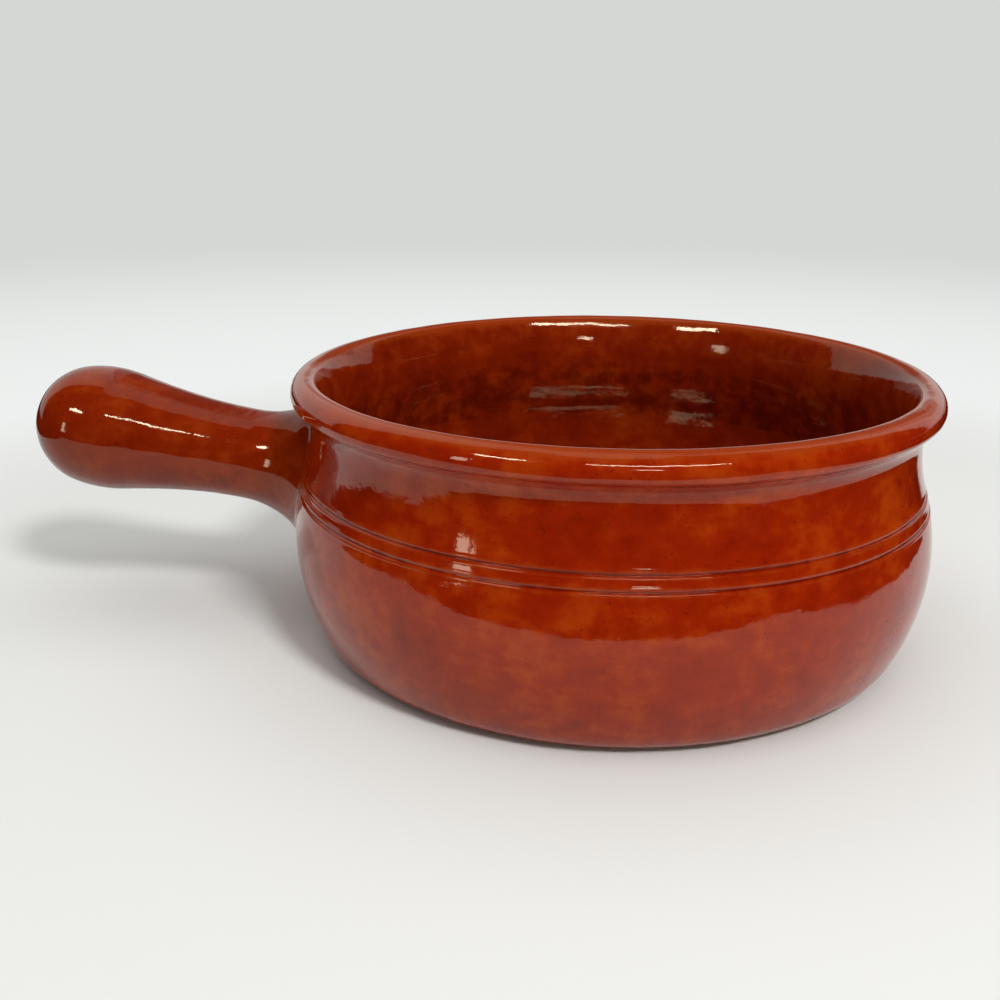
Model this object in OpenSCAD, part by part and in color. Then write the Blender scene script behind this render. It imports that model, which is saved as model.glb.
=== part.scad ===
// Glazed earthenware saucepan with one hollow side handle and no lid.
// The origin is the centre of the standing face, +Z is up and the handle points along -X.
// Lengths are in millimetres and angles in degrees.

/* [Bowl] */
// Outside diameter of the rolled rim
rim_diameter = 240; // [200:5:280]
// Height of the rim top above the table
rim_height = 101.5; // [98:0.5:106]
// Radius of the outer face of the rolled rim
rim_curve = 6; // [5:0.25:7]
// Radius of the lip under the rolled rim
lip_curve = 2.4; // [1.8:0.1:3]
// Radius of the inner edge of the rolled rim
mouth_edge = 3; // [2.2:0.1:3.8]
// How far the neck is set in from the edge of the rim
neck_inset = 6.7; // [5:0.1:8]
// Height of the narrowest part of the neck
neck_height = 87; // [85:0.5:90]
// How far the widest part of the belly stands out beyond the rim
belly_swell = 0.5; // [-2:0.1:3]
// Height of the widest part of the belly
belly_height = 40; // [36:0.5:44]
// Radius of the belly curve seen from the side
belly_curve = 75; // [65:1:85]
// How far the edge of the standing face is set in from the belly
foot_inset = 19.5; // [16:0.5:25]
// Width of the ring that the bowl stands on
ring_width = 29; // [15:1:40]
// Depth of the shallow hollow turned under the base
base_hollow = 1.2; // [0.6:0.1:2.5]

/* [Clay thickness] */
// Wall thickness at the belly
wall = 6.2; // [5:0.1:8]
// Wall thickness at the neck
neck_wall = 5.6; // [5:0.1:7]
// Thickness of the floor
floor_thickness = 7; // [5:0.5:10]
// Radius of the corner between the wall and the floor inside
inner_corner = 20; // [12:1:28]
// Wall thickness of the hollow handle
handle_wall = 5; // [3.5:0.5:7]

/* [Grooves] */
// Height of the upper incised groove
upper_groove = 64; // [62:0.5:70]
// Distance between the two grooves
groove_spacing = 5; // [3.5:0.5:9]
// Radius of the tool that cuts the grooves
groove_tool = 1.1; // [0.8:0.1:2]
// How far the neck is turned back above the upper groove
neck_step = 0.2; // [0:0.1:1]

/* [Handle] */
// Depth of the setting-out point of the handle inside the belly
handle_depth = 10.5; // [9:0.5:13]
// Height of the handle axis at its setting-out point
handle_height = 58; // [50:1:62]
// Upward slope of the handle axis
handle_slope = 9; // [0:1:14]
// Length from the setting-out point to the tip
handle_length = 118.7; // [105:0.5:140]
// Diameter of the handle at its narrowest
grip_diameter = 35; // [30:1:40]
// Distance of the narrowest part from the setting-out point
grip_position = 32; // [28:1:38]
// Diameter of the bulb at the end
bulb_diameter = 47.6; // [42:0.4:56]
// Distance of the fattest part of the bulb from the setting-out point
bulb_position = 90.4; // [82:0.2:100]
// Radius of the bulb curve seen from the side
bulb_curve = 48; // [40:1:60]
// Radius of the flare that runs out to the wall
flare_curve = 37; // [32:1:44]
// Diameter of the vent that lets air out of the handle in the kiln
vent_diameter = 3; // [2:0.5:5]

/* [Joint and glaze] */
// Length of the luted clay ring along the handle
joint_length = 20; // [16:1:26]
// Depth of the key that the clay ring is bedded in
joint_key = 1; // [0.6:0.1:2]
// Radius of the finger-smoothed hollow against the wall
joint_fillet = 8; // [5:0.5:12]
// Thickness of the fired glaze
glaze = 0.35; // [0.2:0.05:0.6]
// Height above the table where the glaze stops
glaze_line = 1.2; // [0.8:0.1:6]

/* [Hidden] */
$fn = 180;
clay_colour = [0.72, 0.40, 0.27];
slip_colour = [0.64, 0.34, 0.23];
glaze_colour = [0.55, 0.16, 0.05];

// Reach of what is cut away or trimmed later, overshoot of a cut, and width left for a cutter to trim
big = 400;
cut = 1;
spare = 20;

// Rolled rim: an outer face and a smaller lip below it that touch at lip_turn degrees under the
// level, and an inner edge that meets the outer face at the top, over bead_x
rim_r = rim_diameter / 2;
bead_x = rim_r - rim_curve;
rim_z = rim_height - rim_curve;
edge_z = rim_height - mouth_edge;
lip_turn = 12;
lip_x = bead_x + (rim_curve - lip_curve) * cos(lip_turn);
lip_z = rim_z - (rim_curve - lip_curve) * sin(lip_turn);
function lip_top(e) = rim_z - (rim_curve + e) * sin(lip_turn);

// Outside of the bowl: heel, belly and neck are arcs that touch tangentially
belly_r = rim_r + belly_swell;
foot_r = belly_r - foot_inset;
neck_r = rim_r - neck_inset;
belly_x = belly_r - belly_curve;
heel_curve = (pow(foot_r - belly_x, 2) + pow(belly_height, 2) - pow(belly_curve, 2))
    / (2 * (belly_height - belly_curve));
neck_x = neck_r + neck_step;
neck_curve = (pow(neck_x - belly_x, 2) + pow(neck_height - belly_height, 2) - pow(belly_curve, 2))
    / (2 * (belly_curve - neck_x + belly_x));
function heel_top(e) = belly_height
    + (heel_curve - belly_height) * (belly_curve + e) / (belly_curve - heel_curve);

// Standing ring round the base hollow, and how far the grooving tool stands off the belly
ring_r = foot_r - ring_width;
hollow_slope = 4;
groove_lift = 0.25;

// Cove that runs from the narrowest part of the neck out to the lip
cove_curve = (pow(lip_x - neck_r, 2) + pow(lip_z - neck_height, 2) - pow(lip_curve, 2))
    / (2 * (lip_x - neck_r + lip_curve));
cove_x = neck_r + cove_curve;

// Inside of the bowl: corner, belly, neck and mouth, tangential again
inside_rise = 2;
in_belly_z = belly_height + inside_rise;
in_curve = belly_curve - wall;
corner_z = floor_thickness + inner_corner;
corner_x = belly_x + sqrt(pow(in_curve - inner_corner, 2) - pow(in_belly_z - corner_z, 2));
in_neck_r = neck_r - neck_wall;
in_neck_z = neck_height;
in_neck_curve = (pow(in_neck_r - belly_x, 2) + pow(in_neck_z - in_belly_z, 2) - pow(in_curve, 2))
    / (2 * (in_curve - in_neck_r + belly_x));
mouth_curve = (pow(mouth_edge, 2) - pow(in_neck_r - bead_x, 2) - pow(in_neck_z - edge_z, 2))
    / (2 * (in_neck_r - bead_x + mouth_edge));
mouth_x = in_neck_r + mouth_curve;
function corner_top(e) = in_belly_z
    + (corner_z - in_belly_z) * (in_curve - e) / (in_curve - inner_corner);
function in_belly_top(e) = in_belly_z
    + (in_neck_z - in_belly_z) * (in_curve - e) / (in_curve + in_neck_curve);
function mouth_top(e) = in_neck_z
    + (edge_z - in_neck_z) * (mouth_curve + e) / (mouth_curve - mouth_edge);

// Arcs that touch hand over this far, or twice this far for long ones, past the point where they
// touch, which leaves a ledge of a few thousandths and not a sliver
seam = 0.3;

// Handle in its own frame: x is the radius and y runs outwards along the axis
handle_set = belly_r - handle_depth;
grip_r = grip_diameter / 2;
bulb_r = bulb_diameter / 2;
bulb_x = bulb_r - bulb_curve;
taper_curve = (pow(bulb_position - grip_position, 2) + pow(bulb_r - grip_r, 2))
    / (2 * (bulb_r - grip_r)) - bulb_curve;
end_curve = (pow(bulb_curve, 2) - pow(bulb_x, 2) - pow(bulb_position - handle_length, 2))
    / (2 * (bulb_position - handle_length + bulb_curve));
end_y = handle_length - end_curve;
function taper_end(e) = grip_position
    + (bulb_position - grip_position) * (taper_curve - e) / (taper_curve + bulb_curve);
function bulb_end(e) = bulb_position
    + (end_y - bulb_position) * (bulb_curve + e) / (bulb_curve - end_curve);

// The flare hands over to the joint fillet, which runs straight out into the wall
hand_over = 40;
run_out = 55;
flare_x = grip_r + flare_curve;
fillet_x = flare_x - (flare_curve - joint_fillet) * cos(hand_over);
fillet_y = grip_position - (flare_curve - joint_fillet) * sin(hand_over);
function hand_over_y(e) = grip_position - (flare_curve - e) * sin(hand_over);
function run_out_x(e) = fillet_x - (joint_fillet - e) * cos(run_out);
function run_out_y(e) = fillet_y - (joint_fillet - e) * sin(run_out);
key_r = flare_x - sqrt(pow(flare_curve, 2) - pow(grip_position - joint_length, 2)) - joint_key;
root_spread = 3;
root_r = key_r + root_spread;

// Edge of the run-out, and a depth inside the wall where the bowl cuts the handle off
root_flare = 34;
root_y = -6;

// Band of the half plane between two heights
module band(z0, z1, width = big) {
    translate([0, z0]) square([width, z1 - z0]);
}

// Disc with its centre at [x, z]
module disc(x, z, r) {
    translate([x, z]) circle(r);
}

// Filled outline of the bowl outside, grown by e
module bowl_outline(e = 0) {
    difference() {
        union() {
            band(0, heel_curve, foot_r);
            intersection() {
                disc(foot_r, heel_curve, heel_curve + e);
                band(0, heel_curve);
            }
            intersection() {
                disc(belly_x, belly_height, belly_curve + e);
                band(heel_top(e) + seam, upper_groove);
            }
            difference() {
                band(upper_groove, neck_height + seam, neck_r + spare);
                disc(neck_r + neck_curve, neck_height, neck_curve - e);
            }
            band(neck_height, lip_z, neck_r - seam);
            difference() {
                polygon([[neck_r - cut, neck_height + seam], [cove_x + seam / 2, neck_height + seam],
                    [lip_x + seam / 2, lip_z], [neck_r - cut, lip_z]]);
                disc(cove_x, neck_height, cove_curve - e);
            }
            disc(lip_x, lip_z, lip_curve + e);
            intersection() {
                disc(bead_x, rim_z, rim_curve + e);
                translate([bead_x - seam, lip_top(e) + seam]) square(spare);
            }
            band(lip_z, rim_height + e, bead_x);
        }
        for (z = [upper_groove, upper_groove - groove_spacing])
            disc(belly_x + sqrt(pow(belly_curve, 2) - pow(z - belly_height, 2)) + groove_lift, z,
                groove_tool - e);
    }
}

// Space inside the bowl and above its mouth, drawn in by e
module bowl_space(e = 0) {
    band(floor_thickness + e, corner_top(e) + seam, corner_x);
    intersection() {
        disc(corner_x, corner_z, inner_corner - e);
        band(floor_thickness + e, corner_z);
    }
    intersection() {
        disc(belly_x, in_belly_z, in_curve - e);
        band(corner_top(e) + seam, in_belly_top(e) - 2 * seam);
    }
    difference() {
        band(in_belly_top(e) - 2 * seam, in_neck_z + 2 * seam, in_neck_r + spare);
        disc(in_neck_r + in_neck_curve, in_neck_z, in_neck_curve + e);
    }
    difference() {
        band(in_neck_z + 2 * seam, big, bead_x);
        intersection() {
            disc(mouth_x, in_neck_z, mouth_curve + e);
            band(in_neck_z - cut, mouth_top(e) + seam);
        }
        disc(bead_x, edge_z, mouth_edge + e);
    }
}

// Filled outline of the handle with its joint ring, grown by e
module handle_outline(e = 0) {
    polygon([[0, root_y], [root_flare, root_y],
        [root_flare, run_out_y(e) - (root_flare - run_out_x(e)) / tan(run_out)],
        [run_out_x(e), run_out_y(e)], [0, fillet_y]]);
    difference() {
        band(run_out_y(e), taper_end(e), fillet_x);
        intersection() {
            disc(fillet_x, fillet_y, joint_fillet - e);
            band(run_out_y(e) - cut, handle_length);
        }
        intersection() {
            disc(flare_x, grip_position, flare_curve - e);
            band(hand_over_y(e), handle_length);
        }
        taper_cut(e);
    }
    bulb_outline(e);
}

// Space inside the hollow handle
module handle_space() {
    e = -handle_wall;
    difference() {
        band(root_y - cut, taper_end(e), grip_r + spare);
        polygon([[root_r - handle_wall, root_y - 2 * cut], [grip_r + e, grip_position],
            [grip_r + 2 * spare, grip_position], [grip_r + 2 * spare, root_y - 2 * cut]]);
        taper_cut(e);
    }
    bulb_outline(e);
}

// Waste outside the long taper from the grip to the bulb
module taper_cut(e) {
    intersection() {
        disc(grip_r + taper_curve, grip_position, taper_curve - e);
        band(grip_position, handle_length);
    }
}

// Bulb and rounded end of the handle, grown by e
module bulb_outline(e) {
    intersection() {
        disc(bulb_x, bulb_position, bulb_curve + e);
        band(grip_position, bulb_end(e));
    }
    intersection() {
        disc(0, end_y, end_curve + e);
        band(grip_position, big);
    }
}

// Part of the handle outline that is the luted ring
module ring_outline() {
    difference() {
        handle_outline();
        polygon([[0, root_y - cut], [root_r, root_y - cut], [root_r, root_y],
            [key_r, joint_length], [0, joint_length]]);
        band(joint_length, handle_length + big);
    }
}

// Turns the handle frame into its place on the wall
module on_handle_axis() {
    translate([-handle_set, 0, handle_height])
        rotate([0, handle_slope - 90, 0]) children();
}

// Hole through the underside of the handle
module vent() {
    translate([0, 0, grip_position]) rotate([0, -90, 0]) cylinder(h = grip_diameter, d = vent_diameter);
}

// Thrown clay bowl
module bowl() {
    color(clay_colour)
        rotate_extrude()
            difference() {
                bowl_outline();
                bowl_space();
                polygon([[0, -cut], [ring_r, -cut], [ring_r, 0],
                    [ring_r - hollow_slope, base_hollow], [0, base_hollow]]);
            }
}

// Thrown hollow handle, trimmed to sit on the wall
module handle() {
    color(clay_colour)
        difference() {
            on_handle_axis()
                difference() {
                    rotate_extrude()
                        difference() {
                            handle_outline();
                            ring_outline();
                            handle_space();
                        }
                    vent();
                }
            rotate_extrude() bowl_outline();
        }
}

// Soft clay ring that lutes the handle to the wall
module handle_joint() {
    color(slip_colour)
        difference() {
            on_handle_axis() rotate_extrude() ring_outline();
            rotate_extrude() bowl_outline();
        }
}

// Glaze poured inside, up to the top of the rim
module inner_glaze() {
    color(glaze_colour)
        rotate_extrude()
            intersection() {
                difference() {
                    bowl_space();
                    bowl_space(glaze);
                }
                band(0, rim_height + glaze, bead_x);
            }
}

// Glaze on the outside, from the top of the rim down to the bare foot
module outer_glaze() {
    color(glaze_colour)
        difference() {
            rotate_extrude()
                difference() {
                    bowl_outline(glaze);
                    bowl_outline();
                    band(-cut, glaze_line);
                    band(lip_z, rim_height + cut, bead_x);
                }
            on_handle_axis() rotate_extrude() handle_outline();
        }
}

// Glaze on the handle and on its joint
module handle_glaze() {
    color(glaze_colour)
        difference() {
            on_handle_axis()
                difference() {
                    rotate_extrude()
                        difference() {
                            handle_outline(glaze);
                            handle_outline();
                        }
                    vent();
                }
            rotate_extrude() bowl_outline(glaze);
        }
}

bowl();
handle();
handle_joint();
inner_glaze();
outer_glaze();
handle_glaze();
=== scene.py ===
# Glazed earthenware saucepan with one hollow side handle: meshes, materials, stage, light and camera.
import math

import bpy
import numpy as np
from mathutils import Matrix, Vector


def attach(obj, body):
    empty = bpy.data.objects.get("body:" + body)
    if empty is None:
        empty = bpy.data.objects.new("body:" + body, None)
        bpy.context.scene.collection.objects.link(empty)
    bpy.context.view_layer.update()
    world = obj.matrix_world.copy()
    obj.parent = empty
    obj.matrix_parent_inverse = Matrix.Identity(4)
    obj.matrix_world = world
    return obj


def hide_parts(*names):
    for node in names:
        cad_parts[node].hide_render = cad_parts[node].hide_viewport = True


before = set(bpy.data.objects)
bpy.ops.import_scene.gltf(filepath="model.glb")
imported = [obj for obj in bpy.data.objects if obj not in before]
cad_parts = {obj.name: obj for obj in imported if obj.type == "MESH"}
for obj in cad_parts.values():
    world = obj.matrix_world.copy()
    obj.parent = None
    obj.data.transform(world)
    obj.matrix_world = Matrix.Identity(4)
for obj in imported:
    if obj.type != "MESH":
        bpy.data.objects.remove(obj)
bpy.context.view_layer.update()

# Lengths are in mm up to the point where a mesh is made
MM = 0.001
GLAZE = 0.35

# Bowl outside, as in the part's source
RIM_R = 120.0
RIM_HEIGHT = 101.5
RIM_CURVE = 6.0
LIP_CURVE = 2.4
LIP_TURN = 12.0
MOUTH_EDGE = 3.0
BEAD_X = RIM_R - RIM_CURVE
RIM_Z = RIM_HEIGHT - RIM_CURVE
EDGE_Z = RIM_HEIGHT - MOUTH_EDGE
LIP_X = BEAD_X + (RIM_CURVE - LIP_CURVE) * math.cos(math.radians(LIP_TURN))
LIP_Z = RIM_Z - (RIM_CURVE - LIP_CURVE) * math.sin(math.radians(LIP_TURN))
BELLY_R = 120.5
BELLY_Z = 40.0
BELLY_CURVE = 75.0
BELLY_X = BELLY_R - BELLY_CURVE
FOOT_R = 101.0
HEEL_CURVE = ((FOOT_R - BELLY_X) ** 2 + BELLY_Z ** 2 - BELLY_CURVE ** 2) / (2 * (BELLY_Z - BELLY_CURVE))
NECK_R = 113.3
NECK_Z = 84.5
NECK_STEP = 0.2
NECK_X = NECK_R + NECK_STEP
NECK_CURVE = ((NECK_X - BELLY_X) ** 2 + (NECK_Z - BELLY_Z) ** 2 - BELLY_CURVE ** 2) / (2 * (BELLY_R - NECK_X))
COVE_CURVE = ((LIP_X - NECK_R) ** 2 + (LIP_Z - NECK_Z) ** 2 - LIP_CURVE ** 2) / (
    2 * (LIP_X - NECK_R + LIP_CURVE))
COVE_X = NECK_R + COVE_CURVE
GROOVES = (64.0, 59.0)
GLAZE_LINE = 1.2
RING_R = 72.0
HOLLOW = 1.2

# Bowl inside
FLOOR_Z = 7.0
WALL = 6.2
CORNER = 20.0
IN_BELLY_Z = BELLY_Z + 2
IN_CURVE = BELLY_CURVE - WALL
CORNER_Z = FLOOR_Z + CORNER
CORNER_X = BELLY_X + math.sqrt((IN_CURVE - CORNER) ** 2 - (IN_BELLY_Z - CORNER_Z) ** 2)
IN_NECK_R = NECK_R - 5.6
IN_NECK_Z = NECK_Z
IN_NECK_CURVE = ((IN_NECK_R - BELLY_X) ** 2 + (IN_NECK_Z - IN_BELLY_Z) ** 2 - IN_CURVE ** 2) / (
    2 * (IN_CURVE - IN_NECK_R + BELLY_X))
MOUTH_CURVE = (MOUTH_EDGE ** 2 - (IN_NECK_R - BEAD_X) ** 2 - (IN_NECK_Z - EDGE_Z) ** 2) / (
    2 * (IN_NECK_R - BEAD_X + MOUTH_EDGE))
MOUTH_X = IN_NECK_R + MOUTH_CURVE

# Handle in its own frame: radius from the axis and distance along it
GRIP_R = 17.5
GRIP_S = 32.0
FLARE_CURVE = 37.0
FLARE_X = GRIP_R + FLARE_CURVE
FLARE_END = 34.0
BULB_R = 23.8
BULB_S = 90.4
BULB_CURVE = 48.0
BULB_X = BULB_R - BULB_CURVE
HANDLE_LENGTH = 118.7
TAPER_CURVE = ((BULB_S - GRIP_S) ** 2 + (BULB_R - GRIP_R) ** 2) / (2 * (BULB_R - GRIP_R)) - BULB_CURVE
END_CURVE = (BULB_CURVE ** 2 - BULB_X ** 2 - (BULB_S - HANDLE_LENGTH) ** 2) / (
    2 * (BULB_S - HANDLE_LENGTH + BULB_CURVE))
END_S = HANDLE_LENGTH - END_CURVE
VENT_R = 1.5
SLOPE = math.radians(9)
ORIGIN = np.array([-110.0, 0.0, 58.0])
ALONG = np.array([-math.cos(SLOPE), 0.0, math.sin(SLOPE)])
UP = np.array([math.sin(SLOPE), 0.0, math.cos(SLOPE)])
SIDE = np.array([0.0, 1.0, 0.0])


# Curves and noise

def smooth(x, a, b):
    """Goes from 0 at a to 1 at b"""
    u = np.clip((x - a) / (b - a), 0, 1)
    return u * u * (3 - 2 * u)


def ripple(p, wavelength, seed, squash=(1.0, 1.0, 1.0)):
    """Smooth seeded noise of about unit size at the points p"""
    rng = np.random.default_rng(seed)
    k = rng.normal(size=(28, 3))
    k /= np.linalg.norm(k, axis=1)[:, None]
    k *= (2 * math.pi / wavelength) * rng.uniform(0.7, 1.35, size=(28, 1)) / np.array(squash)
    turn = rng.uniform(0, 2 * math.pi, 28)
    total = np.zeros(p.shape[:-1])
    for wave, start in zip(k, turn):
        total += np.cos(p @ wave + start)
    return total * math.sqrt(2 / 28)


def arc(x, z, r, start, end):
    """Points along an arc about 0.05 mm apart, angles in degrees"""
    n = max(3, int(abs(math.radians(end - start)) * r / 0.05) + 2)
    a = np.radians(np.linspace(start, end, n))
    return np.stack([x + r * np.cos(a), z + r * np.sin(a)], 1)


def line(x0, z0, x1, z1):
    n = max(2, int(math.hypot(x1 - x0, z1 - z0) / 0.05) + 1)
    return np.stack([np.linspace(x0, x1, n), np.linspace(z0, z1, n)], 1)


class Curve:
    """Profile with its length as the parameter"""

    def __init__(self, *pieces):
        p = np.concatenate(pieces)
        keep = np.ones(len(p), bool)
        keep[1:] = np.linalg.norm(np.diff(p, axis=0), axis=1) > 1e-6
        self.p = p[keep]
        step = np.linalg.norm(np.diff(self.p, axis=0), axis=1)
        self.t = np.concatenate([[0], np.cumsum(step)])
        self.length = self.t[-1]

    def at(self, t):
        return np.interp(t, self.t, self.p[:, 0]), np.interp(t, self.t, self.p[:, 1])

    def way(self, t):
        """Unit direction of travel"""
        x0, z0 = self.at(np.clip(t - 0.15, 0, self.length))
        x1, z1 = self.at(np.clip(t + 0.15, 0, self.length))
        size = np.hypot(x1 - x0, z1 - z0)
        return (x1 - x0) / size, (z1 - z0) / size

    def rows(self, spacing):
        """Stations along the curve whose distance follows spacing(x, z)"""
        t = np.linspace(0, self.length, 6000)
        gap = spacing(*self.at(t))
        width = max(3, int(5.0 / self.length * 6000) | 1)
        gap = np.convolve(np.pad(gap, width // 2, mode="edge"), np.ones(width) / width, "valid")
        count = np.concatenate([[0], np.cumsum((t[1] - t[0]) / gap[1:])])
        n = int(round(count[-1]))
        return np.interp(np.linspace(0, count[-1], n + 1), count, t)


def turn(z, x):
    return math.degrees(math.atan2(z, x))


def outside(e):
    """Outside of the bowl from the edge of the foot to the top of the rim, grown by e"""
    heel = turn(HEEL_CURVE - BELLY_Z, FOOT_R - BELLY_X)
    belly = turn(NECK_Z - BELLY_Z, NECK_X + NECK_CURVE - BELLY_X)
    cove = turn(LIP_Z - NECK_Z, LIP_X - COVE_X)
    neck = arc(NECK_X + NECK_CURVE, NECK_Z, NECK_CURVE - e, 180 + belly, 180)
    body = np.concatenate([arc(BELLY_X, BELLY_Z, BELLY_CURVE + e, heel, belly), neck])
    z = body[:, 1]
    body[:, 0] -= NECK_STEP / 2 * (smooth(z, 58.3, 59.7) + smooth(z, 63.3, 64.7))
    return Curve(arc(FOOT_R, HEEL_CURVE, HEEL_CURVE + e, -90, heel), body,
                 arc(COVE_X, NECK_Z, COVE_CURVE - e, 180, cove),
                 arc(LIP_X, LIP_Z, LIP_CURVE + e, cove - 180, -LIP_TURN),
                 arc(BEAD_X, RIM_Z, RIM_CURVE + e, -LIP_TURN, 90))


def inside(e):
    """Inside of the bowl from the middle of the floor to the top of the rim, drawn in by e"""
    corner = turn(CORNER_Z - IN_BELLY_Z, CORNER_X - BELLY_X)
    neck = turn(IN_NECK_Z - IN_BELLY_Z, IN_NECK_R + IN_NECK_CURVE - BELLY_X)
    mouth = turn(EDGE_Z - IN_NECK_Z, BEAD_X - MOUTH_X)
    return Curve(line(0, FLOOR_Z + e, CORNER_X, FLOOR_Z + e),
                 arc(CORNER_X, CORNER_Z, CORNER - e, -90, corner),
                 arc(BELLY_X, IN_BELLY_Z, IN_CURVE - e, corner, neck),
                 arc(IN_NECK_R + IN_NECK_CURVE, IN_NECK_Z, IN_NECK_CURVE + e, 180 + neck, 180),
                 arc(MOUTH_X, IN_NECK_Z, MOUTH_CURVE + e, 180, mouth),
                 arc(BEAD_X, EDGE_Z, MOUTH_EDGE + e, mouth, 90))


def handle_curve(e):
    """Handle from the end of the flare to the tip: radius and distance along the axis"""
    taper = turn(BULB_S - GRIP_S, GRIP_R + TAPER_CURVE - BULB_X)
    bulb = turn(END_S - BULB_S, -BULB_X)
    return Curve(arc(FLARE_X, GRIP_S, FLARE_CURVE - e, 180 + FLARE_END, 180),
                 arc(GRIP_R + TAPER_CURVE, GRIP_S, TAPER_CURVE - e, 180, 180 - taper),
                 arc(BULB_X, BULB_S, BULB_CURVE + e, -taper, bulb),
                 arc(0, END_S, END_CURVE + e, bulb, 90))


# Surfaces: each turns parameters into points, with the marks that throwing leaves

OUTER = outside(GLAZE)
INNER = inside(GLAZE)
HANDLE = handle_curve(GLAZE)


def off_handle(p):
    """Distance from the handle's axis, and far away on the other side of the bowl"""
    q = p - ORIGIN
    radial = np.hypot(q @ UP, q @ SIDE)
    return np.where(p[..., 0] < -60, radial, 999.0)


def wobble(p):
    """Moves points as a hand-thrown pot is out of true. Near the handle nothing moves."""
    angle = np.arctan2(p[..., 1], p[..., 0])
    share = smooth(np.where(p[..., 0] < 0, np.abs(p[..., 1]), 999.0), 45, 90)
    height = np.clip(p[..., 2] / RIM_HEIGHT, 0, 1)
    wide = share * height ** 2 * (0.06 * np.cos(3 * angle + 1.1) - 0.35 * np.cos(2 * angle))
    tall = share * height ** 6 * 0.23 * np.sin(angle) * (1 + np.sin(angle))
    moved = p.copy()
    radius = np.maximum(np.hypot(p[..., 0], p[..., 1]), 1e-9)
    moved[..., 0] += wide * p[..., 0] / radius * np.clip(radius / 60, 0, 1)
    moved[..., 1] += wide * p[..., 1] / radius * np.clip(radius / 60, 0, 1)
    moved[..., 2] += tall
    return moved


def revolve(curve, t, angle, out=1.0):
    """Points and outward directions of a bowl profile turned about the upright axis"""
    r, z = curve.at(t)
    wr, wz = curve.way(t)
    point = np.stack([r * np.cos(angle), r * np.sin(angle), z + 0 * angle], -1)
    level = out * wz
    normal = np.stack([level * np.cos(angle), level * np.sin(angle), -out * wr + 0 * angle], -1)
    return point, normal


def outer_lift(p, t):
    """Height of the outside's marks over the plain surface"""
    z = p[..., 2]
    free = smooth(off_handle(p), 33.5, 38.5)
    angle = np.arctan2(p[..., 1], p[..., 0])
    cut = 0.0
    for height, depth, lip in zip(GROOVES, (0.62, 0.50), (0.20, 0.12)):
        dz = z - height - 0.15 * np.sin(angle + height)
        tool = 1 + 0.18 * np.sin(3 * angle + height) + 0.12 * np.sin(7 * angle + 2 * height)
        cut = cut - depth * tool * np.exp(-(dz / 0.42) ** 2)
        cut = cut + lip * np.exp(-((dz - 1.0) / 0.55) ** 2) + 0.12 * np.exp(-((dz + 0.95) / 0.4) ** 2)
    body = smooth(t, 0.5, 6) * (1 - smooth(z, 85.0, 91.0))
    waves = 0.016 * ripple(p, 9.0, 3) + 0.050 * ripple(p, 34.0, 4)
    rings = 0.008 * np.cos(2 * math.pi * z / 7.5 + angle)
    rim = 0.030 * ripple(p, 15.0, 5) * smooth(z, 88.0, 94.0)
    edge = GLAZE * (np.sqrt(1 - (1 - np.clip(t / 1.1, 0, 1)) ** 2) - 1)
    return free * cut + body * (waves + free * rings) + rim + 0.9 * edge


def inner_lift(p, t):
    z = p[..., 2]
    angle = np.arctan2(p[..., 1], p[..., 0])
    radius = np.hypot(p[..., 0], p[..., 1])
    wall = smooth(z, 22, 40) * (1 - smooth(z, 84, 92))
    rings = 0.040 * np.cos(2 * math.pi * z / 7.2 + angle + 0.8 * ripple(p, 70.0, 6))
    spiral = 0.055 * np.cos(2 * math.pi * radius / 9.0 - angle) * smooth(radius, 6, 16) * (1 - smooth(z, 10, 18))
    waves = 0.016 * ripple(p, 9.0, 7) + 0.055 * ripple(p, 36.0, 8)
    rim = 0.030 * ripple(p, 15.0, 5)
    top = smooth(z, 88.0, 94.0)
    return (wall * rings + spiral + waves) * (1 - top) + rim * top


def inner_surface(t, angle):
    p, n = revolve(INNER, t, angle, -1.0)
    return wobble(p + n * inner_lift(p, t)[..., None])


def handle_surface(t, angle):
    """Handle beyond the end of the flare, angle 0 on top and 90 degrees towards +Y"""
    r, s = HANDLE.at(t)
    wr, ws = HANDLE.way(t)
    ring = np.cos(angle)[..., None] * UP + np.sin(angle)[..., None] * SIDE
    p = ORIGIN + r[..., None] * ring + s[..., None] * ALONG
    n = ws[..., None] * ring - wr[..., None] * ALONG
    away = smooth(t, 1, 9)
    lift = away * (0.10 + 0.016 * ripple(p, 9.0, 9) + 0.045 * ripple(p, 30.0, 10)
                   + 0.010 * np.cos(2 * math.pi * s / 5.5 + angle))
    return p + n * lift[..., None]


# Grids of vertices that share their borders, so that the shading runs on from piece to piece

class Skin:
    """Vertices and faces of one continuous surface. Each face remembers its piece."""

    def __init__(self):
        self.points = []
        self.faces = []
        self.piece = []
        self.count = 0

    def add(self, p):
        """Adds points and returns their numbers in the same shape"""
        flat = p.reshape(-1, 3)
        self.points.append(flat)
        numbers = np.arange(self.count, self.count + len(flat)).reshape(p.shape[:-1])
        self.count += len(flat)
        return numbers

    def quads(self, grid, piece, closed=True, keep=None):
        """Joins a grid of numbers with quads whose normal is across x down the rows"""
        right = np.roll(grid, -1, 1) if closed else grid[:, 1:]
        left = grid if closed else grid[:, :-1]
        f = np.stack([left[:-1], right[:-1], right[1:], left[1:]], -1)
        if keep is not None:
            f = f[keep]
        f = f.reshape(-1, 4)
        self.faces += f.tolist()
        self.piece += [piece] * len(f)

    def fan(self, ring, tip, piece):
        self.faces += [[a, b, tip] for a, b in zip(ring.tolist(), np.roll(ring, -1).tolist())]
        self.piece += [piece] * len(ring)


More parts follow.
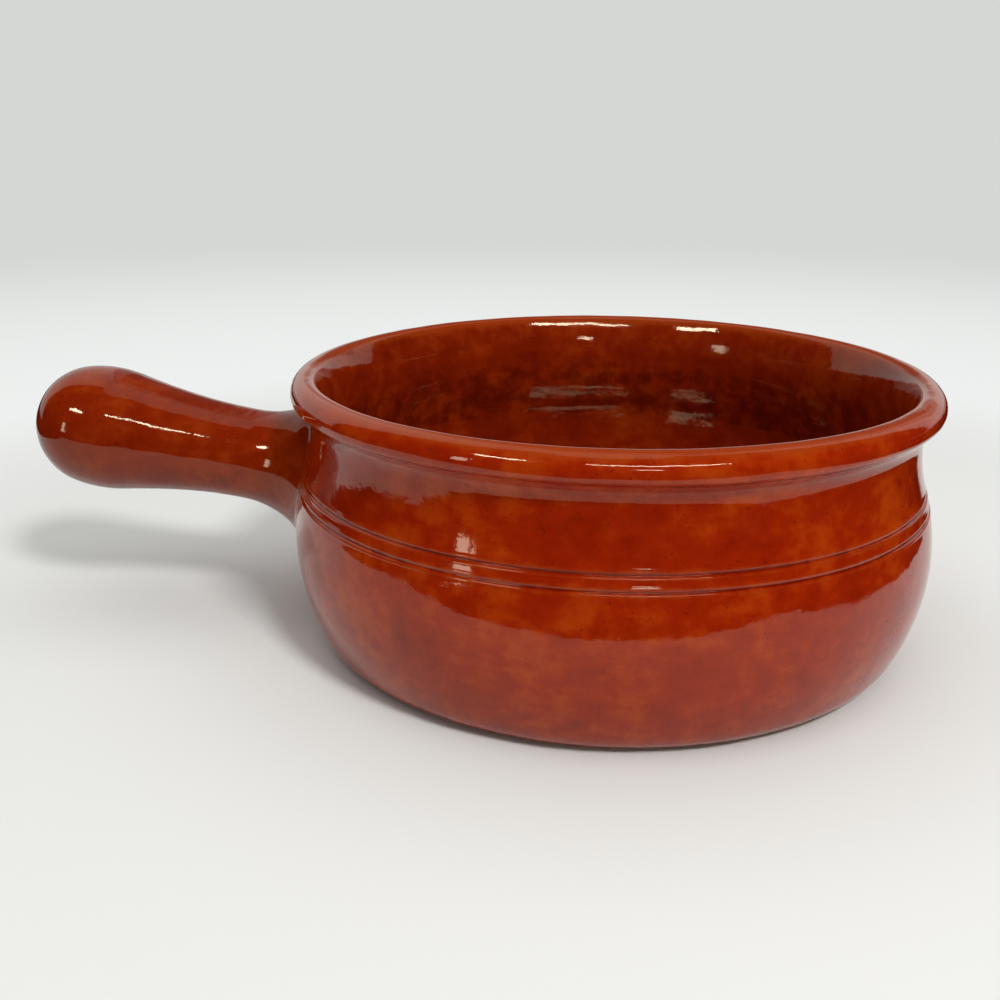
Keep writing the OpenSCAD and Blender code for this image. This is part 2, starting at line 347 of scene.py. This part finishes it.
def loop_round(rows, columns):
    """Row and column of each point round a block, from the middle of its last row towards lower columns"""
    r0, r1 = rows
    c0, c1 = columns
    middle = (c0 + c1) // 2
    loop = [(r1, c) for c in range(middle, c0, -1)]
    loop += [(r, c0) for r in range(r1, r0, -1)]
    loop += [(r0, c) for c in range(c0, c1)]
    loop += [(r, c1) for r in range(r0, r1)]
    loop += [(r1, c) for c in range(c1, middle, -1)]
    return np.array(loop)


def solve(f, low, high, steps=40):
    """Bisection for each element, with f below zero at low"""
    low = low.copy()
    high = high.copy()
    for _ in range(steps):
        middle = (low + high) / 2
        below = f(middle) < 0
        low = np.where(below, middle, low)
        high = np.where(below, high, middle)
    return (low + high) / 2


COLUMNS = 320
skin = Skin()


def outer_gap(x, z):
    gap = np.full(len(z), 2.1)
    gap = np.where(z < 9, 1.2, gap)
    gap = np.where((z > 55) & (z < 68), 0.9, gap)
    for height in GROOVES:
        gap = np.where(np.abs(z - height) < 2.0, 0.26, gap)
    gap = np.where(z > 82, 1.0, gap)
    gap = np.where(z > 91, 0.5, gap)
    return gap


def inner_gap(x, z):
    gap = np.where(z > 92, 0.5, 1.8)
    return np.where((z < 9) & (x < CORNER_X), 2.4, gap)


# Outside of the bowl with a block left out round the handle

t_line = float(np.interp(GLAZE_LINE, OUTER.p[:400, 1], OUTER.t[:400]))
t_rows = OUTER.rows(outer_gap)
t_rows = np.concatenate([[t_line, t_line + 0.3, t_line + 0.65], t_rows[t_rows > t_line + 0.8]])
turns = np.arange(COLUMNS) * 2 * math.pi / COLUMNS
tt, aa = np.meshgrid(t_rows, turns, indexing="ij")


def outer_at(t, angle):
    """Outside of the bowl above the glaze line"""
    p, n = revolve(OUTER, t, angle)
    return wobble(p + n * outer_lift(p, t - t_line)[..., None])


outer_points = outer_at(tt, aa)
outer_grid = skin.add(outer_points)
row_z = OUTER.at(t_rows)[1]
block_rows = (int(np.searchsorted(row_z, 17.0)), int(np.searchsorted(row_z[:np.argmax(row_z > 95)], 91.4)))
block_columns = (COLUMNS // 2 - 18, COLUMNS // 2 + 18)
keep = np.ones((len(t_rows) - 1, COLUMNS), bool)
keep[block_rows[0]:block_rows[1], block_columns[0]:block_columns[1]] = False
skin.quads(outer_grid, "outer", keep=keep)

# Fan of quads from the block's edge to the foot of the handle

loop = loop_round(block_rows, block_columns)
edge_t = t_rows[loop[:, 0]]
edge_a = turns[loop[:, 1]]
edge_p = outer_points[loop[:, 0], loop[:, 1]] - ORIGIN
seen = np.unwrap(np.arctan2(edge_p @ SIDE, edge_p @ UP))
even = seen[0] + np.arange(len(loop)) * 2 * math.pi / len(loop)
phi = 0.55 * seen + 0.45 * even
foot_rho = 30.95 - 2.45 * np.cos(phi)
ring_way = np.cos(phi)[:, None] * UP + np.sin(phi)[:, None] * SIDE


def wall_at_height(z):
    """Radius of the plain outside at a height under the rim"""
    low = OUTER.p[:, 1] < 96
    return np.interp(z, OUTER.p[low][:, 1], OUTER.p[low][:, 0])


def past_wall(s):
    p = ORIGIN + foot_rho[:, None] * ring_way + s[:, None] * ALONG
    return np.hypot(p[:, 0], p[:, 1]) - wall_at_height(p[:, 2])


foot_s = solve(past_wall, np.full(len(phi), -8.0), np.full(len(phi), 25.0))
foot_plain = ORIGIN + foot_rho[:, None] * ring_way + foot_s[:, None] * ALONG
foot_a = np.mod(np.arctan2(foot_plain[:, 1], foot_plain[:, 0]), 2 * math.pi)
under_rim = OUTER.p[:, 1] < 96
foot_t = np.interp(foot_plain[:, 2], OUTER.p[under_rim][:, 1], OUTER.t[under_rim])
steps = 9
u = (np.arange(1, steps + 1) / steps)[:, None]
patch_points = outer_at(edge_t + (foot_t - edge_t) * u, edge_a + (foot_a - edge_a) * u)
patch = skin.add(patch_points)
edge_ids = outer_grid[loop[:, 0], loop[:, 1]]
skin.quads(np.concatenate([edge_ids[None], patch]), "outer")

# Fillet that leaves the wall along the wall and arrives along the flare

foot_p = patch_points[-1]
wall_n = revolve(OUTER, foot_t, foot_a)[1]
leave = -ring_way
leave = leave - (leave * wall_n).sum(1)[:, None] * wall_n
leave /= np.linalg.norm(leave, axis=1)[:, None]
start_t = np.zeros(len(phi))
flare_p = handle_surface(start_t, phi)
wr, ws = HANDLE.way(start_t)
arrive = wr[:, None] * ring_way + ws[:, None] * ALONG
span = np.linalg.norm(flare_p - foot_p, axis=1)[:, None] * 1.15
steps = 12
u = (np.arange(1, steps) / steps)[:, None, None]
fillet_points = ((2 * u ** 3 - 3 * u ** 2 + 1) * foot_p + (u ** 3 - 2 * u ** 2 + u) * span * leave
                 + (3 * u ** 2 - 2 * u ** 3) * flare_p + (u ** 3 - u ** 2) * span * arrive)
fillet = skin.add(fillet_points)

# Rest of the handle, with a block left out for the vent


def handle_gap(r, s):
    gap = np.where(s > HANDLE_LENGTH - 3, 0.7, 1.25)
    return np.where(np.abs(s - GRIP_S) < 6, 0.9, gap)


h_rows = HANDLE.rows(handle_gap)[:-1]
ht, ha = np.meshgrid(h_rows, phi, indexing="ij")
handle_points = handle_surface(ht, ha)
handle_grid = skin.add(handle_points)
tip = skin.add(handle_surface(np.array([HANDLE.length]), np.array([0.0])))[0]
vent_t = float(np.interp(GRIP_S, HANDLE.p[:, 1], HANDLE.t))
vent_row = int(np.argmin(np.abs(h_rows - vent_t)))
vent_column = int(np.argmin(np.abs(phi - phi[0] - math.pi)))
vent_rows = (vent_row - 4, vent_row + 4)
vent_columns = (vent_column - 5, vent_column + 5)
keep = np.ones((len(h_rows) - 1, len(phi)), bool)
keep[vent_rows[0]:vent_rows[1], vent_columns[0]:vent_columns[1]] = False
skin.quads(np.concatenate([patch[-1:], fillet, handle_grid[:1]]), "handle")
skin.quads(handle_grid, "handle", keep=keep)
skin.fan(handle_grid[-1], tip, "handle")

loop = loop_round(vent_rows, vent_columns)
edge_t = h_rows[loop[:, 0]]
edge_a = phi[loop[:, 1]]
centre_a = phi[0] + math.pi
edge_r = HANDLE.at(edge_t)[0]
seen = np.unwrap(np.arctan2(-(edge_a - centre_a) * edge_r, edge_t - vent_t))
hole_t = vent_t + VENT_R * np.cos(seen)
hole_a = centre_a - np.arcsin(VENT_R * np.sin(seen) / (GRIP_R + GLAZE))
steps = 5
u = (np.arange(1, steps + 1) / steps)[:, None]
vent_points = handle_surface(edge_t + (hole_t - edge_t) * u, edge_a + (hole_a - edge_a) * u)
dip = np.array([0.0, 0.0, 0.02, 0.10, 0.30])[:, None, None]
vent_points = vent_points + dip * UP
vent = skin.add(vent_points)
skin.quads(np.concatenate([handle_grid[loop[:, 0], loop[:, 1]][None], vent]), "handle")

# Inside of the bowl, whose last row is the last row of the outside

i_rows = INNER.rows(inner_gap)[1:-1]
it, ia = np.meshgrid(i_rows, turns, indexing="ij")
inner_grid = skin.add(inner_surface(it, ia))
floor_tip = skin.add(inner_surface(np.array([0.0]), np.array([0.0])))[0]
inner_all = np.concatenate([inner_grid, outer_grid[-1:]])
skin.quads(inner_all[:, ::-1], "inner")
skin.fan(inner_grid[0], floor_tip, "inner")

points = np.concatenate(skin.points)


# Pieces

def make_mesh(name, p, faces, normals=None):
    mesh = bpy.data.meshes.new(name)
    mesh.from_pydata((p * MM).tolist(), [], faces)
    mesh.update()
    mesh.polygons.foreach_set("use_smooth", np.ones(len(mesh.polygons), bool))
    if normals is not None:
        mesh.normals_split_custom_set_from_vertices(normals.tolist())
    piece = bpy.data.objects.new(name, mesh)
    bpy.context.scene.collection.objects.link(piece)
    return piece


def corner_normals(p, faces):
    """Smooth vertex normals, weighted by the angle of each corner"""
    mesh = bpy.data.meshes.new("scratch")
    mesh.from_pydata((p * MM).tolist(), [], faces)
    mesh.update()
    n = np.zeros(len(p) * 3, np.float32)
    mesh.vertex_normals.foreach_get("vector", n)
    bpy.data.meshes.remove(mesh)
    return n.reshape(-1, 3).astype(float)


normals = corner_normals(points, skin.faces)


def closed_shell(name, part, thickness):
    """Closed layer of one part of the skin, its lower side pushed in along the normals"""
    faces = [f for f, p in zip(skin.faces, skin.piece) if p == part]
    used = sorted({v for f in faces for v in f})
    number = {v: i for i, v in enumerate(used)}
    top = [[number[v] for v in f] for f in faces]
    count = len(used)
    p = points[used]
    n = normals[used]
    way = {}
    for f in top:
        for a, b in zip(f, f[1:] + f[:1]):
            way[(a, b)] = True
    rim = [(a, b) for a, b in way if (b, a) not in way]
    low = [[v + count for v in reversed(f)] for f in top]
    sides = [[b, a, a + count, b + count] for a, b in rim]
    return make_mesh(name, np.concatenate([p, p - thickness * n]), top + low + sides,
                     np.concatenate([n, -n]))


outer_piece = closed_shell("glaze_outside", "outer", GLAZE)
inner_piece = closed_shell("glaze_inside", "inner", GLAZE)
handle_piece = closed_shell("glaze_handle", "handle", GLAZE)


# Clay of the bowl: under the glaze it follows the glaze, and the foot is bare

def bare_foot(cols):
    """Rows from the edge of the glaze down the heel, over the standing ring and hollow to the centre"""
    a = np.arange(cols) * 2 * math.pi / cols
    heel = Curve(arc(FOOT_R, HEEL_CURVE, HEEL_CURVE, -66, -90),
                 line(FOOT_R, 0, RING_R + 0.8, 0), arc(RING_R + 0.8, 0.8, 0.8, -90, -150),
                 line(RING_R - 0.4, 0.62, RING_R - 3.2, HOLLOW - 0.12),
                 line(RING_R - 3.2, HOLLOW - 0.12, RING_R - 5.5, HOLLOW), line(RING_R - 5.5, HOLLOW, 0, HOLLOW))
    t = heel.rows(lambda x, z: np.where(x > 99, 0.5, 0.9))[:-1]
    t, a = np.meshgrid(t, a, indexing="ij")
    p, n = revolve(heel, t, a, -1.0)
    radius = np.hypot(p[..., 0], p[..., 1])
    hollow = 1 - smooth(radius, RING_R - 9, RING_R - 3)
    ring = smooth(radius, RING_R, RING_R + 4) * (1 - smooth(radius, 92, 98))
    marks = 0.07 * np.cos(2 * math.pi * radius / 4.6 - a) * hollow + 0.05 * ripple(p, 11.0, 12) * hollow
    worn = 0.035 * (1 + np.cos(2 * math.pi * radius / 3.4 + 0.6 * ripple(p, 40.0, 13))) * ring
    p[..., 2] += marks + worn + 0.02 * ring
    return p


CLAY_COLUMNS = COLUMNS // 2
clay = Skin()
plain_n = corner_normals(outer_points.reshape(-1, 3), [
    [i * COLUMNS + j, i * COLUMNS + (j + 1) % COLUMNS, (i + 1) * COLUMNS + (j + 1) % COLUMNS, (i + 1) * COLUMNS + j]
    for i in range(len(t_rows) - 1) for j in range(COLUMNS)]).reshape(outer_points.shape)
below = outer_points - (GLAZE + 0.02) * plain_n
within = points[inner_grid] - (GLAZE + 0.02) * normals[inner_grid]
foot = clay.add(bare_foot(CLAY_COLUMNS))
foot_tip = clay.add(np.array([[0.0, 0.0, HOLLOW]]))[0]
clay_outer = clay.add(below[1::1, ::2])
clay_inner = clay.add(within[::-1][::2, ::2])
clay_tip = clay.add(np.array([[0.0, 0.0, FLOOR_Z - 0.02]]))[0]
clay.quads(np.concatenate([foot[::-1], clay_outer, clay_inner]), "clay")
clay.fan(foot[-1][::-1], foot_tip, "clay")
clay.fan(clay_inner[-1], clay_tip, "clay")
bowl_piece = make_mesh("bowl_clay", np.concatenate(clay.points), clay.faces)


# Clay ring between handle and wall: under the glaze outside, along the handle's key inside

JOINT_LENGTH = 20.0
KEY_R = 18.55
ROOT_R = 20.6


def wall_under(rho):
    """Ring on the clay of the wall at a distance from the handle's axis"""
    def past(s):
        q = ORIGIN + rho * ring_way + s[:, None] * ALONG
        return np.hypot(q[:, 0], q[:, 1]) - wall_at_height(q[:, 2]) + GLAZE

    s = solve(past, np.full(len(phi), -8.0), np.full(len(phi), 25.0))
    return ORIGIN + rho * ring_way + s[:, None] * ALONG


covered = np.concatenate([patch[-1:], fillet, handle_grid[HANDLE.at(h_rows)[1] < JOINT_LENGTH]])
joint = Skin()
joint_rows = joint.add(points[covered] - (GLAZE + 0.02) * normals[covered])
joint_key = joint.add(np.stack([ORIGIN + KEY_R * ring_way + JOINT_LENGTH * ALONG, wall_under(ROOT_R)]))
joint.quads(np.concatenate([joint_rows, joint_key, joint_rows[:1]]), "joint")
joint_piece = make_mesh("joint_clay", np.concatenate(joint.points), joint.faces)


# Attribute for the materials: where the glaze runs thin over edges and thick in hollows, plus painted shade on the
# inside wall and a painted lighter band near the inside's top

def relief(p):
    z = p[:, 2]
    radius = np.hypot(p[:, 0], p[:, 1])
    free = smooth(off_handle(p), 33.5, 38.5)
    rim = np.exp(-((z - RIM_HEIGHT) / 2.2) ** 2) * (radius > 100)
    lips_and_lit_band = np.zeros(len(p))
    deep_and_shade = np.zeros(len(p))
    for height in GROOVES:
        dz = np.abs(z - height)
        lips_and_lit_band += np.exp(-((dz - 1.1) / 0.5) ** 2) * (radius > 114) * free
        deep_and_shade += np.exp(-(dz / 0.45) ** 2) * (radius > 114) * free
    heel = np.exp(-((z - GLAZE_LINE - 1.2) / 1.2) ** 2) * (radius > 90)
    within = (radius < 112.5) * (z > FLOOR_Z - 1) * (p[:, 0] > -112.5)
    # Painted shade: the inside wall is darkened from the floor corner up to z 74-88. Painted light: a lighter band
    # along the inside from z 80 up.
    deep_and_shade += 0.55 * within * smooth(z, 10, 30) * (1 - smooth(z, 74, 88))
    lips_and_lit_band += 0.35 * within * smooth(z, 80, 90)
    return 0.5 + 0.5 * np.clip(0.9 * rim + 0.6 * lips_and_lit_band + 0.8 * heel - 0.8 * deep_and_shade, -1, 1)


for piece in (outer_piece, inner_piece, handle_piece):
    mesh = piece.data
    p = np.zeros(len(mesh.vertices) * 3, np.float32)
    mesh.vertices.foreach_get("co", p)
    layer = mesh.attributes.new("thin_and_painted_light", "FLOAT", "POINT")
    layer.data.foreach_set("value", relief(p.reshape(-1, 3) / MM).astype(np.float32))


# Materials

def add(tree, kind, sockets=None, **fields):
    """Adds a node, sets its fields, and gives its inputs values or links"""
    node = tree.nodes.new(kind)
    for name, value in fields.items():
        setattr(node, name, value)
    for name, value in (sockets or {}).items():
        if isinstance(value, bpy.types.NodeSocket):
            tree.links.new(value, node.inputs[name])
        else:
            node.inputs[name].default_value = value
    return node


def math_node(tree, operation, a, b=0.0, clamp=False):
    return add(tree, "ShaderNodeMath", {0: a, 1: b}, operation=operation, use_clamp=clamp).outputs[0]


def blend_colour(tree, factor, a, b, blend_type="MIX"):
    """Mix of two colours, each a colour or a socket"""
    node = add(tree, "ShaderNodeMix", {0: factor, 6: a, 7: b}, data_type="RGBA", blend_type=blend_type)
    return node.outputs[2]


def noise(tree, at, scale, detail=3.0, roughness=0.5):
    return add(tree, "ShaderNodeTexNoise", {"Vector": at, "Scale": scale, "Detail": detail,
                                            "Roughness": roughness}).outputs[0]


def stretch(tree, at, x, y, z):
    return add(tree, "ShaderNodeVectorMath", {0: at, 1: (x, y, z)}, operation="MULTIPLY").outputs[0]


def ramp(tree, factor, *stops):
    """Colour ramp from (place, colour) pairs"""
    node = add(tree, "ShaderNodeValToRGB", {0: factor})
    elements = node.color_ramp.elements
    while len(elements) < len(stops):
        elements.new(0.5)
    for element, (place, colour) in zip(elements, stops):
        element.position = place
        element.color = (*colour, 1) if len(colour) == 3 else colour
    return node.outputs[0]


def spread(tree, value, low, high, to_low=0.0, to_high=1.0):
    return add(tree, "ShaderNodeMapRange", {0: value, 1: low, 2: high, 3: to_low, 4: to_high},
               interpolation_type="SMOOTHSTEP").outputs[0]


def new_material(name):
    material = bpy.data.materials.new(name)
    material.use_nodes = True
    tree = material.node_tree
    tree.nodes.clear()
    return material, tree


def finish_material(tree, shader):
    add(tree, "ShaderNodeOutputMaterial", {"Surface": shader})


def glaze_material(name, deep_and_shade, mid, bright, thin_and_lit_colour):
    """Glossy honey glaze over red clay, mottled where it is brushed thick and thin, with the attribute's painted
    shade and painted light mixed into its colour
    """
    material, tree = new_material(name)
    at = add(tree, "ShaderNodeTexCoord").outputs["Object"]
    broad = noise(tree, at, 38.0, 4.0, 0.55)
    patches = noise(tree, at, 120.0, 4.0, 0.6)
    strokes = noise(tree, stretch(tree, at, 0.45, 0.45, 1), 260.0, 3.0, 0.6)
    mottle = math_node(tree, "ADD", math_node(tree, "MULTIPLY", broad, 0.5),
                       math_node(tree, "ADD", math_node(tree, "MULTIPLY", patches, 0.3),
                                 math_node(tree, "MULTIPLY", strokes, 0.2)))
    colour = ramp(tree, mottle, (0.33, deep_and_shade), (0.5, mid), (0.67, bright))
    thin_and_painted_light = add(tree, "ShaderNodeAttribute", attribute_name="thin_and_painted_light").outputs["Fac"]
    uneven_and_painted_light = math_node(tree, "ADD", thin_and_painted_light, spread(tree, patches, 0.3, 0.7, -0.12, 0.12))
    # Paler where the glaze runs thin, and painted light where the attribute carries it
    colour = blend_colour(tree, spread(tree, uneven_and_painted_light, 0.55, 0.95, 0.0, 0.85), colour, (*thin_and_lit_colour, 1))
    # Darker where the glaze pools thick, and painted shade where the attribute carries it, as on the inside wall
    colour = blend_colour(tree, spread(tree, uneven_and_painted_light, 0.45, 0.1, 0.0, 0.75), colour, (*[c * 0.45 for c in deep_and_shade], 1))
    specks = noise(tree, at, 900.0, 1.0, 0.5)
    colour = blend_colour(tree, spread(tree, specks, 0.70, 0.76, 0.0, 0.55), colour, (0.03, 0.006, 0.003, 1))
    fine = noise(tree, at, 430.0, 2.0)
    height = math_node(tree, "ADD", math_node(tree, "MULTIPLY", noise(tree, at, 170.0, 2.0), 0.9),
                       math_node(tree, "MULTIPLY", fine, 0.55))
    bump = add(tree, "ShaderNodeBump", {"Strength": 1.0, "Distance": 0.00006, "Height": height}).outputs[0]
    gloss = spread(tree, patches, 0.35, 0.7, 0.045, 0.085)
    shader = add(tree, "ShaderNodeBsdfPrincipled", {"Base Color": colour, "Roughness": gloss, "IOR": 1.5, "Normal": bump,
                                                    "Specular Tint": (1.0, 0.86, 0.64, 1)}).outputs[0]
    finish_material(tree, shader)
    return material


def clay_material(name, tint):
    """Matt fired red clay with grog, scratches and soot"""
    material, tree = new_material(name)
    at = add(tree, "ShaderNodeTexCoord").outputs["Object"]
    broad = noise(tree, at, 30.0, 4.0, 0.6)
    grain = noise(tree, at, 620.0, 4.0, 0.7)
    tone = math_node(tree, "ADD", math_node(tree, "MULTIPLY", broad, 0.6), math_node(tree, "MULTIPLY", grain, 0.4))
    dark, mid, pale = ([c * k for c in tint] for k in (0.62, 1.0, 1.35))
    colour = ramp(tree, tone, (0.34, dark), (0.5, mid), (0.66, pale))
    grog = add(tree, "ShaderNodeTexVoronoi", {"Vector": at, "Scale": 420.0}).outputs["Distance"]
    colour = blend_colour(tree, spread(tree, grog, 0.16, 0.06, 0.0, 0.6), colour, (0.62, 0.40, 0.28, 1))
    rough = spread(tree, grain, 0.3, 0.7, 0.78, 0.95)
    height = math_node(tree, "ADD", grain, math_node(tree, "MULTIPLY", grog, -0.4))
    bump = add(tree, "ShaderNodeBump", {"Strength": 0.8, "Distance": 0.00025, "Height": height}).outputs[0]
    shader = add(tree, "ShaderNodeBsdfPrincipled", {"Base Color": colour, "Roughness": rough, "Normal": bump,
                                                    "IOR": 1.5}).outputs[0]
    finish_material(tree, shader)
    return material


OUTSIDE_GLAZE = glaze_material("glaze_outside", (0.19, 0.007, 0.0006), (0.265, 0.014, 0.0008),
                               (0.40, 0.046, 0.002), (0.29, 0.036, 0.004))
# The inside's glaze is a darker copy of the outside's: painted shade for the inside of the bowl
SHADED_INSIDE_GLAZE = glaze_material("glaze_inside", (0.14, 0.007, 0.0006), (0.21, 0.014, 0.0010),
                              (0.31, 0.034, 0.002), (0.28, 0.034, 0.004))
HANDLE_GLAZE = glaze_material("glaze_handle", (0.14, 0.007, 0.0006), (0.19, 0.013, 0.0010),
                              (0.28, 0.030, 0.002), (0.30, 0.050, 0.010))
RED_CLAY = clay_material("red_clay", (0.42, 0.150, 0.070))
JOINT_CLAY = clay_material("joint_clay", (0.38, 0.130, 0.060))

for piece, material, slot, node in (
        (outer_piece, OUTSIDE_GLAZE, "glaze_outside", "outer_glaze"),
        (inner_piece, SHADED_INSIDE_GLAZE, "glaze_inside", "inner_glaze"),
        (handle_piece, HANDLE_GLAZE, "glaze_handle", "handle_glaze"),
        (joint_piece, JOINT_CLAY, "joint_clay", "handle_joint"),
        (bowl_piece, RED_CLAY, "red_clay", "bowl")):
    piece.data.materials.append(material)
    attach(piece, "root")
    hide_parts(node)
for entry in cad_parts["handle"].material_slots:
    entry.material = RED_CLAY


# Stage: pale floor, and a dark room that only reflections see

BACKDROP = (0.660, 0.680, 0.655)
ROOM = (0.004, 0.0025, 0.002)


def stage_mesh(name, p, faces, material, reflections_only=False):
    mesh = bpy.data.meshes.new(name)
    mesh.from_pydata(p, [], faces)
    mesh.materials.append(material)
    piece = bpy.data.objects.new(name, mesh)
    bpy.context.scene.collection.objects.link(piece)
    if reflections_only:
        piece.visible_camera = False
        piece.visible_diffuse = False
        piece.visible_transmission = False
        piece.visible_volume_scatter = False
        piece.visible_shadow = False
    return piece


def light_material(name, colour, strength):
    material, tree = new_material(name)
    finish_material(tree, add(tree, "ShaderNodeEmission", {"Color": (*colour, 1), "Strength": strength}).outputs[0])
    return material


def floor_material():
    material, tree = new_material("floor")
    at = add(tree, "ShaderNodeTexCoord").outputs["Object"]
    away = add(tree, "ShaderNodeVectorMath", {0: at}, operation="LENGTH").outputs["Value"]
    paper = add(tree, "ShaderNodeBsdfDiffuse", {"Color": (0.74, 0.755, 0.748, 1)}).outputs[0]
    # For camera rays past 0.29 m the floor shows an emitted colour instead of its shading: a painted band of light,
    # brighter than the lit paper near the object, fading to the backdrop colour far away
    beyond = blend_colour(tree, spread(tree, away, 0.42, 1.5), (0.86, 0.875, 0.865, 1), (*BACKDROP, 1))
    far = add(tree, "ShaderNodeEmission", {"Color": beyond, "Strength": 1.0}).outputs[0]
    seen = add(tree, "ShaderNodeLightPath").outputs["Is Camera Ray"]
    share = math_node(tree, "MULTIPLY", spread(tree, away, 0.29, 0.50), seen)
    finish_material(tree, add(tree, "ShaderNodeMixShader", {0: share, 1: paper, 2: far}).outputs[0])
    return material


def patch_of_room(name, azimuths, elevations, radius, material):
    """Piece of a sphere round the object, azimuth 0 towards -Y and 90 towards +X"""
    a = np.radians(np.linspace(*azimuths, max(2, int((azimuths[1] - azimuths[0]) / 4) + 2)))
    e = np.radians(np.linspace(*elevations, max(2, int((elevations[1] - elevations[0]) / 4) + 2)))
    ee, aa = np.meshgrid(e, a, indexing="ij")
    p = np.stack([radius * np.sin(aa) * np.cos(ee), -radius * np.cos(aa) * np.cos(ee), radius * np.sin(ee)], -1)
    w = len(a)
    faces = [[i * w + j, i * w + j + 1, (i + 1) * w + j + 1, (i + 1) * w + j]
             for i in range(len(e) - 1) for j in range(w - 1)]
    return stage_mesh(name, p.reshape(-1, 3).tolist(), faces, material, reflections_only=True)


ROOM_RADIUS = 5.0
dark = light_material("dark_room", ROOM, 1.0)
stage_mesh("floor", [(-8, -8, 0), (8, -8, 0), (8, 8, 0), (-8, 8, 0)], [(0, 1, 2, 3)], floor_material())
patch_of_room("room", (-106, 124), (-8, 78), ROOM_RADIUS, dark)
patch_of_room("room_behind", (138, 202), (13, 72), ROOM_RADIUS, light_material("dim_room", (0.36, 0.35, 0.33), 1.0))
patch_of_room("room_far_behind", (148, 194), (18, 64), ROOM_RADIUS - 0.2,
              light_material("dimmer_room", (0.10, 0.095, 0.09), 1.0))

# Dark floor beyond the edge of the pale sheet, again for reflections only
x0, x1, y0, y1 = -0.48, 0.275, -0.25, 1.2
wide = 6.0
stage_mesh("room_floor", [(-wide, -wide, 0.0004), (wide, -wide, 0.0004), (wide, y1, 0.0004), (x1, y1, 0.0004),
                          (x1, y0, 0.0004), (x0, y0, 0.0004), (x0, y1, 0.0004), (-wide, y1, 0.0004)],
           [(0, 1, 4, 5), (1, 2, 3, 4), (0, 5, 6, 7)], dark, reflections_only=True)

for number, (azimuths, elevations, strength) in enumerate((
        ((-52, -46), (-5, 14), 7.0),
        ((-50, -31), (35, 39), 30.0),
        ((9, 16), (18, 20.5), 20.0),
        ((-7, 42), (38, 40.5), 30.0),
        ((22, 37), (-8, 0), 0.4))):
    patch_of_room("glint_%d" % number, azimuths, elevations, ROOM_RADIUS - 0.2,
                  light_material("glint_%d" % number, (1.0, 0.98, 0.94), strength))


# World, key light and camera

def build_world():
    world = bpy.data.worlds.new("studio")
    bpy.context.scene.world = world
    world.use_nodes = True
    tree = world.node_tree
    tree.nodes.clear()
    path = add(tree, "ShaderNodeLightPath")
    seen = math_node(tree, "MAXIMUM", path.outputs["Is Camera Ray"], path.outputs["Is Glossy Ray"])
    seen = math_node(tree, "MAXIMUM", seen, path.outputs["Is Transmission Ray"])
    colour = blend_colour(tree, seen, (0.36, 0.36, 0.35, 1), (*BACKDROP, 1))
    background = add(tree, "ShaderNodeBackground", {"Color": colour, "Strength": 1.0}).outputs[0]
    add(tree, "ShaderNodeOutputWorld", {"Surface": background})


def build_lamp(name, shape, size, energy, azimuth, elevation, distance):
    """Soft lamp that shines at the origin, azimuth 0 from the front and 90 degrees from +X"""
    lamp = bpy.data.lights.new(name, "AREA")
    lamp.shape = shape
    lamp.size = size
    lamp.energy = energy
    lamp.color = (1.0, 0.985, 0.96)
    light = bpy.data.objects.new(name, lamp)
    azimuth, elevation = math.radians(azimuth), math.radians(elevation)
    back = Vector((math.sin(azimuth) * math.cos(elevation), -math.cos(azimuth) * math.cos(elevation),
                   math.sin(elevation)))
    light.location = back * distance
    light.rotation_mode = "QUATERNION"
    light.rotation_quaternion = back.to_track_quat("Z", "Y")
    light.visible_glossy = False
    light.visible_camera = False
    bpy.context.scene.collection.objects.link(light)


def build_camera():
    """Camera at the photograph's place and angle"""
    pitch, heading, roll = 0.320190, -0.096490, 0.004878
    data = bpy.data.cameras.new("camera")
    data.sensor_width = 36.0
    data.lens = 1169.55 * 36.0 / 1000.0
    data.clip_start, data.clip_end = 0.01, 50.0
    right = Vector((math.cos(heading), -math.sin(heading), 0))
    forward = Vector((math.sin(heading) * math.cos(pitch), math.cos(heading) * math.cos(pitch), -math.sin(pitch)))
    up = Vector((math.sin(heading) * math.sin(pitch), math.cos(heading) * math.sin(pitch), math.cos(pitch)))
    x = math.cos(roll) * right + math.sin(roll) * up
    y = math.cos(roll) * up - math.sin(roll) * right
    matrix = Matrix((x, y, -forward)).transposed().to_4x4()
    matrix.translation = (0, -0.437646, 0.192990)
    camera = bpy.data.objects.new("camera", data)
    camera.matrix_world = matrix
    bpy.context.scene.collection.objects.link(camera)
    bpy.context.scene.camera = camera


build_world()
build_lamp("key", "DISK", 0.42, 27.0, 32, 46, 2.2)
build_lamp("ceiling", "SQUARE", 2.6, 20.0, 0, 88, 1.8)
build_camera()
bpy.context.scene.view_settings.view_transform = "Standard"
